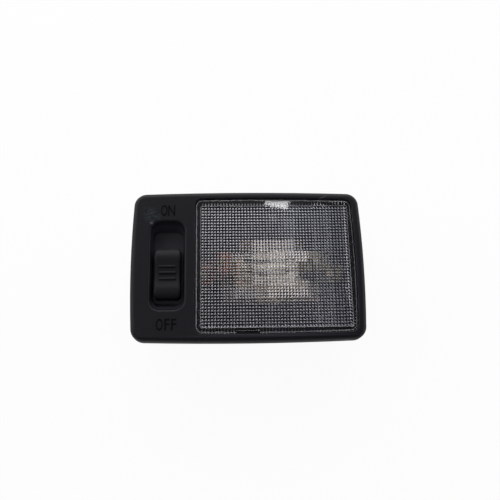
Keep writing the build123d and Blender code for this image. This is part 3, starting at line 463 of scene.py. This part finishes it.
def sheet_metal(name, tone, dull, rough, streaks, bright=None):
    """Rolled, drawn or plated metal: fine streaks, duller patches, and painted shade, darker and browner,
    beyond its bright part.
    """
    # Real rolling lines are far finer than 0.3 mm. They are drawn coarser so that they show.
    material, tree, place = new_material(name)
    rolled = add(tree, "ShaderNodeMapping", {"Vector": place, "Scale": streaks})
    lines = add(
        tree, "ShaderNodeTexNoise", {"Vector": rolled.outputs[0], "Scale": 1 / (0.3 * MM), "Detail": 3.0}
    ).outputs["Fac"]
    patch = add(tree, "ShaderNodeTexNoise", {"Vector": place, "Scale": 1 / (2.5 * MM), "Detail": 4.0})
    worn = add(
        tree, "ShaderNodeMapRange", {"Value": patch.outputs["Fac"], "From Min": 0.4, "From Max": 0.7}
    )
    tarnish = tuple(channel * dull for channel in tone)
    shade = add(
        tree, "ShaderNodeMix",
        {"Factor": worn.outputs[0], "A": rgba(tone), "B": rgba(tarnish)},
        data_type="RGBA",
    )
    # Beyond the bright part, painted shade turns the metal darker and browner
    if bright:
        past = box_edge(tree, place, *bright)
        painted_shade = add(tree, "ShaderNodeMapRange", {"Value": past, "From Min": 0.0, "From Max": SHADE_REACH})
        brown = tuple(channel * share for channel, share in zip(tone, SHADE_SHARES))
        shade = add(
            tree, "ShaderNodeMix",
            {"Factor": painted_shade.outputs[0], "A": shade.outputs["Result"], "B": rgba(brown)},
            data_type="RGBA",
        )
    gloss = add(
        tree, "ShaderNodeMapRange", {"Value": lines, "To Min": rough * 0.8, "To Max": rough * 1.3}
    )
    finish_material(tree, relief_shader(tree, lines, 0.12, 0.02 * MM, {
        "Base Color": shade.outputs["Result"], "Metallic": 1.0, "Roughness": gloss.outputs[0],
    }))
    return material


def moulded_nylon(looks):
    """Natural nylon of the slider."""
    # Unfilled nylon: milky white with faint clouds and a low gloss.
    material, tree, place = new_material("Natural nylon, moulded")
    cloud = add(
        tree, "ShaderNodeTexNoise", {"Vector": place, "Scale": 1 / (3 * MM), "Detail": 3.0}
    ).outputs["Fac"]
    tone = mottled(tree, looks.nylon_white, cloud, 0.9, 1.05)
    finish_material(tree, relief_shader(tree, cloud, 0.1, 0.05 * MM, {
        "Base Color": tone, "Roughness": 0.45, "IOR": 1.53,
    }))
    return material


def pressed_laminate(looks):
    """Brown insulating laminate of the switch base."""
    # Paper and resin pressed hot: brown with fibres that run one way, and a dull sheen. The real fibres are
    # finer than 0.1 mm and are drawn coarser so that they show.
    material, tree, place = new_material("Paper laminate, pressed")
    along = add(tree, "ShaderNodeMapping", {"Vector": place, "Scale": (1.0, 0.12, 1.0)})
    fibre = add(
        tree, "ShaderNodeTexNoise", {"Vector": along.outputs[0], "Scale": 1 / (0.35 * MM), "Detail": 4.0}
    ).outputs["Fac"]
    tone = mottled(tree, looks.laminate_brown, fibre, 0.7, 1.25)
    finish_material(tree, relief_shader(tree, fibre, 0.15, 0.04 * MM, {
        "Base Color": tone, "Roughness": 0.5, "IOR": 1.55,
    }))
    return material


def groove_shade(looks):
    """Floor of the sunk words, in painted shade."""
    # The words' floors were left matt by the mould's cutter, so they hardly shine, and they are coloured
    # darker than the grain as painted shade in the strokes. The cutter's marks are too fine to show and are
    # drawn coarser.
    material, tree, place = new_material("Black ABS, sunk words")
    grain = add(tree, "ShaderNodeTexNoise", {"Vector": place, "Scale": 1 / (0.3 * MM), "Detail": 2.0})
    rough = add(
        tree, "ShaderNodeMapRange", {"Value": grain.outputs["Fac"], "To Min": 0.55, "To Max": 0.75}
    )
    shader = add(
        tree, "ShaderNodeBsdfPrincipled",
        {
            "Base Color": rgba(looks.groove_shade), "Roughness": rough.outputs[0], "IOR": 1.5,
            "Specular IOR Level": 0.06,
        },
    )
    finish_material(tree, shader)
    return material


def letter_shape(letter, width, height, gain):
    """One letter as flat faces, stretched to its own width and height about the origin."""
    outline = bpy.data.curves.new(letter, "FONT")
    outline.body = letter
    outline.size = height
    outline.offset = gain
    carrier = bpy.data.objects.new(letter, outline)
    bpy.context.scene.collection.objects.link(carrier)
    bpy.context.view_layer.update()
    drawn = carrier.evaluated_get(bpy.context.evaluated_depsgraph_get())
    flat = bpy.data.meshes.new_from_object(drawn)
    bpy.data.objects.remove(carrier)
    low = Vector([min(v.co[i] for v in flat.vertices) for i in range(3)])
    high = Vector([max(v.co[i] for v in flat.vertices) for i in range(3)])
    fit = Matrix.Diagonal((width / (high.x - low.x), height / (high.y - low.y), 1.0, 1.0))
    flat.transform(fit @ Matrix.Translation((low + high) / -2))
    return flat


def word_piece(word, centre, widths, height, gap, sizes, materials):
    """One word as thin grooves on the face: floors in painted shade, with a sloping edge around each stroke.
    """
    shape = bmesh.new()
    total = sum(widths) + gap * (len(word) - 1)
    left = centre[0] - total / 2
    for letter, width in zip(word, widths):
        flat = letter_shape(letter, width, height, sizes.stroke_gain)
        flat.transform(Matrix.Translation((left + width / 2, centre[1], centre[2])))
        shape.from_mesh(flat)
        bpy.data.meshes.remove(flat)
        left += width + gap
    bmesh.ops.remove_doubles(shape, verts=shape.verts, dist=MERGE_REACH)
    for face in shape.faces:
        if face.normal.z < 0:
            face.normal_flip()
    rim = bmesh.ops.inset_region(
        shape, faces=shape.faces[:], thickness=sizes.groove_rim, use_even_offset=True
    )["faces"]
    for face in rim:
        face.material_index = 1
    edge = {v for e in shape.edges if e.is_boundary for v in e.verts}
    bmesh.ops.translate(shape, verts=list(edge), vec=(0.0, 0.0, sizes.groove_rise))
    mesh = bpy.data.meshes.new(word)
    shape.to_mesh(mesh)
    shape.free()
    for material in materials:
        mesh.materials.append(material)
    piece = bpy.data.objects.new(f"word_{word.lower()}", mesh)
    bpy.context.scene.collection.objects.link(piece)
    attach(piece, "lamp")


def soft_light(name, place, target, width, depth, watts):
    """A rectangular soft light that faces a point."""
    data = bpy.data.lights.new(name, "AREA")
    data.shape = "RECTANGLE"
    data.size = width
    data.size_y = depth
    data.energy = watts
    lamp = bpy.data.objects.new(name, data)
    lamp.location = place
    lamp.rotation_mode = "QUATERNION"
    lamp.rotation_quaternion = (Vector(target) - Vector(place)).to_track_quat("-Z", "Y")
    bpy.context.scene.collection.objects.link(lamp)


class DOME_OT_frame(bpy.types.Operator):
    """Give the housing its grained black plastic"""

    bl_idname = "dome.frame"
    bl_label = "Frame"

    def execute(self, context):
        dress("housing", frame_abs(context.scene.dome_plastics))
        return {"FINISHED"}


class DOME_OT_words(bpy.types.Operator):
    """Lay ON and OFF on the face beside the switch as thin grooves, their floors in painted shade"""

    bl_idname = "dome.words"
    bl_label = "Switch words"

    def execute(self, context):
        sizes = context.scene.dome_words
        frame_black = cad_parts["housing"].material_slots[0].material
        materials = (groove_shade(context.scene.dome_plastics), frame_black)
        on_widths = (sizes.o_width, sizes.n_width)
        off_widths = (sizes.o_width, sizes.f_width, sizes.f_width)
        for word, y, widths, height, gap in (
            ("ON", sizes.on_y, on_widths, sizes.on_height, sizes.on_gap),
            ("OFF", sizes.off_y, off_widths, sizes.off_height, sizes.off_gap),
        ):
            centre = (SWITCH_X, y, FACE_Z + WORD_LIFT)
            word_piece(word, centre, widths, height, gap, sizes, materials)
        return {"FINISHED"}


class DOME_OT_lens(bpy.types.Operator):
    """Give the lens its clear acrylic"""

    bl_idname = "dome.lens"
    bl_label = "Lens"

    def execute(self, context):
        dress("lens", lens_acrylic(context.scene.dome_clears))
        return {"FINISHED"}


class DOME_OT_switch(bpy.types.Operator):
    """Give the knob and the pieces of the switch behind it their finishes"""

    bl_idname = "dome.switch"
    bl_label = "Switch"

    def execute(self, context):
        plastics = context.scene.dome_plastics
        metals = context.scene.dome_metals
        dress("switch_knob", knob_abs(plastics))
        dress("contact_carrier", moulded_nylon(plastics))
        dress("switch_base", pressed_laminate(plastics))
        # Rolled spring brass: yellow and bright where it wipes.
        dress("moving_contact", sheet_metal(
            "Spring brass, rolled", metals.spring_brass, dull=0.75, rough=0.28, streaks=STREAKS_Y
        ))
        # Tempered spring steel: grey, lightly streaked.
        dress("detent_spring", sheet_metal(
            "Spring steel, tempered", metals.spring_steel, dull=0.7, rough=0.32, streaks=STREAKS_Y
        ))
        return {"FINISHED"}


class DOME_OT_contacts(bpy.types.Operator):
    """Give the stamped contacts, rivets and screws their metals"""

    bl_idname = "dome.contacts"
    bl_label = "Contacts"

    def execute(self, context):
        metals = context.scene.dome_metals
        # Stamped brass that has dulled in air to an olive yellow.
        brass = sheet_metal(
            "Brass, stamped and dulled", metals.clip_brass, dull=0.6, rough=0.6, streaks=STREAKS_X
        )
        dress("feed_terminal", brass)
        dress("ground_terminal", brass)
        # Stamped copper alloy: reddish, blotched darker, with painted shade, darker and browner, away from
        # the bulb.
        dress("switched_contact", sheet_metal(
            "Copper, stamped", metals.clip_copper, dull=0.6, rough=0.5, streaks=STREAKS_X,
            bright=COPPER_BRIGHT,
        ))
        # Headed brass rivets, burnished by the die.
        dress("contact_rivets", sheet_metal(
            "Brass, headed", metals.rivet_brass, dull=0.8, rough=0.3, streaks=NO_STREAKS
        ))
        # Zinc plate: pale, bluish, fine-grained.
        dress("base_screws", sheet_metal(
            "Zinc plate on steel", metals.zinc, dull=0.75, rough=0.3, streaks=(1.0, 1.0, 0.3)
        ))
        return {"FINISHED"}


class DOME_OT_bulb(bpy.types.Operator):
    """Give the bulb and the plate behind it their glass and metals"""

    bl_idname = "dome.bulb"
    bl_label = "Bulb"

    def execute(self, context):
        metals = context.scene.dome_metals
        # Bright-rolled aluminium: pale, slightly warm, blurred reflections, with painted shade, darker and
        # browner, round its edges.
        dress("reflector", sheet_metal(
            "Aluminium, bright-rolled", metals.plate_bright, dull=0.97, rough=0.42,
            streaks=(0.08, 1.0, 1.0), bright=PLATE_BRIGHT,
        ))
        dress("bulb_glass", bulb_glass(context.scene.dome_clears))
        # Nickel plate on drawn brass: a warm grey, tarnished by heat.
        nickel = sheet_metal(
            "Nickel plate, drawn", metals.nickel, dull=0.8, rough=0.6, streaks=STREAKS_X
        )
        dress("bulb_cap_left", nickel)
        dress("bulb_cap_right", nickel)
        # Drawn tungsten: dark grey, hardly shines.
        dress("bulb_filament", sheet_metal(
            "Tungsten, drawn", metals.tungsten, dull=0.7, rough=0.45, streaks=STREAKS_X
        ))
        return {"FINISHED"}


class DOME_OT_stage(bpy.types.Operator):
    """Set the pale floor, the soft light and the camera"""

    bl_idname = "dome.stage"
    bl_label = "Stage"

    def execute(self, context):
        scene = context.scene
        stage = scene.dome_stage
        scene.view_settings.view_transform = "Standard"
        self.floor(stage)
        self.walls(scene, stage)
        for name, light in SOFT_LIGHTS.items():
            soft_light(name, *light)
        self.camera(scene, stage)
        return {"FINISHED"}

    def floor(self, stage):
        """A wide floor that shows as near white and keeps a trace of the shadow."""
        material, tree, place = new_material("Pale studio floor")
        middle = (0.0, 0.0, 0.0)
        path = add(tree, "ShaderNodeLightPath")
        mirror = add(
            tree, "ShaderNodeMath",
            {0: path.outputs["Is Glossy Ray"], 1: path.outputs["Is Transmission Ray"]},
            operation="MAXIMUM",
        )
        beside = spot(tree, place, middle, FLOOR_DIMMED, 0.0)
        far = add(tree, "ShaderNodeMath", {0: 1.0, 1: beside}, operation="SUBTRACT", use_clamp=True)
        dimmed = add(
            tree, "ShaderNodeMath", {0: mirror.outputs[0], 1: far.outputs[0]}, operation="MULTIPLY"
        )
        seen = add(
            tree, "ShaderNodeMath",
            {0: path.outputs["Is Camera Ray"], 1: dimmed.outputs[0]},
            operation="MAXIMUM",
        )
        # Under the lamp the floor stays plain, so that no bare white shows up through the screw holes.
        covered = spot(tree, place, middle, FLOOR_COVERED, 0.0)
        clear = add(tree, "ShaderNodeMath", {0: covered, 1: 0.001}, operation="LESS_THAN")
        lit = add(tree, "ShaderNodeMath", {0: seen.outputs[0], 1: clear.outputs[0]}, operation="MULTIPLY")
        share = add(tree, "ShaderNodeMath", {0: lit.outputs[0], 1: FLOOR_WHITE_SHARE}, operation="MULTIPLY")
        matt = add(tree, "ShaderNodeBsdfDiffuse", {"Color": rgba(stage.floor_pale)})
        white = add(tree, "ShaderNodeEmission", {"Color": (1.0, 1.0, 1.0, 1.0), "Strength": 1.0})
        mixed = add(
            tree, "ShaderNodeMixShader", {0: share.outputs[0], 1: matt.outputs[0], 2: white.outputs[0]}
        )
        finish_material(tree, mixed)
        shape = bmesh.new()
        bmesh.ops.create_grid(shape, x_segments=1, y_segments=1, size=stage.floor_reach)
        mesh = bpy.data.meshes.new("floor")
        shape.to_mesh(mesh)
        shape.free()
        mesh.materials.append(material)
        floor = bpy.data.objects.new("floor", mesh)
        bpy.context.scene.collection.objects.link(floor)

    def walls(self, scene, stage):
        """Pale walls under a darker ceiling with two glows, dimmer in front, and a white backdrop."""
        world = bpy.data.worlds.new("Studio walls")
        world.use_nodes = True
        tree = world.node_tree
        tree.nodes.clear()
        way = add(tree, "ShaderNodeTexCoord").outputs["Generated"]
        toward = add(tree, "ShaderNodeSeparateXYZ", {"Vector": way})
        walls = add(
            tree, "ShaderNodeMapRange",
            {"Value": toward.outputs["Z"], "From Min": 0.0, "From Max": 0.95, "To Min": 1.0, "To Max": 0.1},
            interpolation_type="SMOOTHSTEP",
        )
        front = add(
            tree, "ShaderNodeMapRange",
            {"Value": toward.outputs["Y"], "From Min": -0.5, "From Max": 0.2, "To Min": 0.35, "To Max": 1.0},
            interpolation_type="SMOOTHSTEP",
        )
        room = add(tree, "ShaderNodeMath", {0: walls.outputs[0], 1: front.outputs[0]}, operation="MULTIPLY")
        strength = room.outputs[0]
        for glow, gain in ((WIDE_GLOW, WIDE_STRENGTH), (SMALL_GLOW, SMALL_STRENGTH)):
            inputs = {0: spot(tree, way, *glow), 1: gain, 2: strength}
            strength = add(tree, "ShaderNodeMath", inputs, operation="MULTIPLY_ADD").outputs[0]
        right = add(
            tree, "ShaderNodeMapRange", {"Value": toward.outputs["X"], "From Min": 0.05, "From Max": 0.4}
        )
        tone = add(
            tree, "ShaderNodeMix",
            {"Factor": right.outputs[0], "A": rgba(stage.wall_left), "B": rgba(stage.wall_right)},
            data_type="RGBA",
        )
        sky = add(tree, "ShaderNodeBackground", {"Color": tone.outputs["Result"], "Strength": strength})
        foot = add(tree, "ShaderNodeMath", {0: toward.outputs["Z"], 1: BACKDROP_TOP}, operation="LESS_THAN")
        path = add(tree, "ShaderNodeLightPath")
        seen = add(
            tree, "ShaderNodeMath",
            {0: path.outputs["Is Camera Ray"], 1: foot.outputs[0]},
            operation="MAXIMUM",
        )
        white = add(tree, "ShaderNodeBackground", {"Color": (1.0, 1.0, 1.0, 1.0), "Strength": 1.0})
        backdrop = add(
            tree, "ShaderNodeMixShader", {0: seen.outputs[0], 1: sky.outputs[0], 2: white.outputs[0]}
        )
        add(tree, "ShaderNodeOutputWorld", {"Surface": backdrop.outputs[0]})
        scene.world = world

    def camera(self, scene, stage):
        """The camera at the photograph's angle."""
        data = bpy.data.cameras.new("Camera")
        data.sensor_width = 36.0
        data.lens = stage.camera_lens
        data.clip_start = 0.01
        eye = bpy.data.objects.new("Camera", data)
        ahead = (Vector(stage.camera_target) - Vector(stage.camera_place)).normalized()
        level = Vector((0.0, 1.0, 0.0))
        top = (level - level.dot(ahead) * ahead).normalized()
        right = ahead.cross(top)
        turn = Matrix((right, top, -ahead)).transposed().to_4x4()
        roll = Matrix.Rotation(stage.camera_roll, 4, "Z")
        eye.matrix_world = Matrix.Translation(stage.camera_place) @ turn @ roll
        scene.collection.objects.link(eye)
        scene.camera = eye


OPERATORS = (
    DOME_OT_frame,
    DOME_OT_words,
    DOME_OT_lens,
    DOME_OT_switch,
    DOME_OT_contacts,
    DOME_OT_bulb,
    DOME_OT_stage,
)


class DOME_PT_panel(bpy.types.Panel):
    """Steps and settings of the dome light"""

    bl_idname = "DOME_PT_panel"
    bl_label = "Dome Light"
    bl_space_type = "VIEW_3D"
    bl_region_type = "UI"
    bl_category = "Dome Light"

    def draw(self, context):
        for operator in OPERATORS:
            self.layout.operator(operator.bl_idname)
        for name, group in GROUPS.items():
            box = self.layout.box()
            for setting in group.__annotations__:
                box.prop(getattr(context.scene, name), setting)


CLASSES = (*GROUPS.values(), *OPERATORS, DOME_PT_panel)


def register():
    for group in CLASSES:
        bpy.utils.register_class(group)
    for name, group in GROUPS.items():
        setattr(bpy.types.Scene, name, PointerProperty(type=group))


def unregister():
    for name in GROUPS:
        delattr(bpy.types.Scene, name)
    for group in reversed(CLASSES):
        bpy.utils.unregister_class(group)


def main():
    register()
    bpy.ops.dome.frame()
    bpy.ops.dome.words()
    bpy.ops.dome.lens()
    bpy.ops.dome.switch()
    bpy.ops.dome.contacts()
    bpy.ops.dome.bulb()
    bpy.ops.dome.stage()


if __name__ == "__main__":
    main()
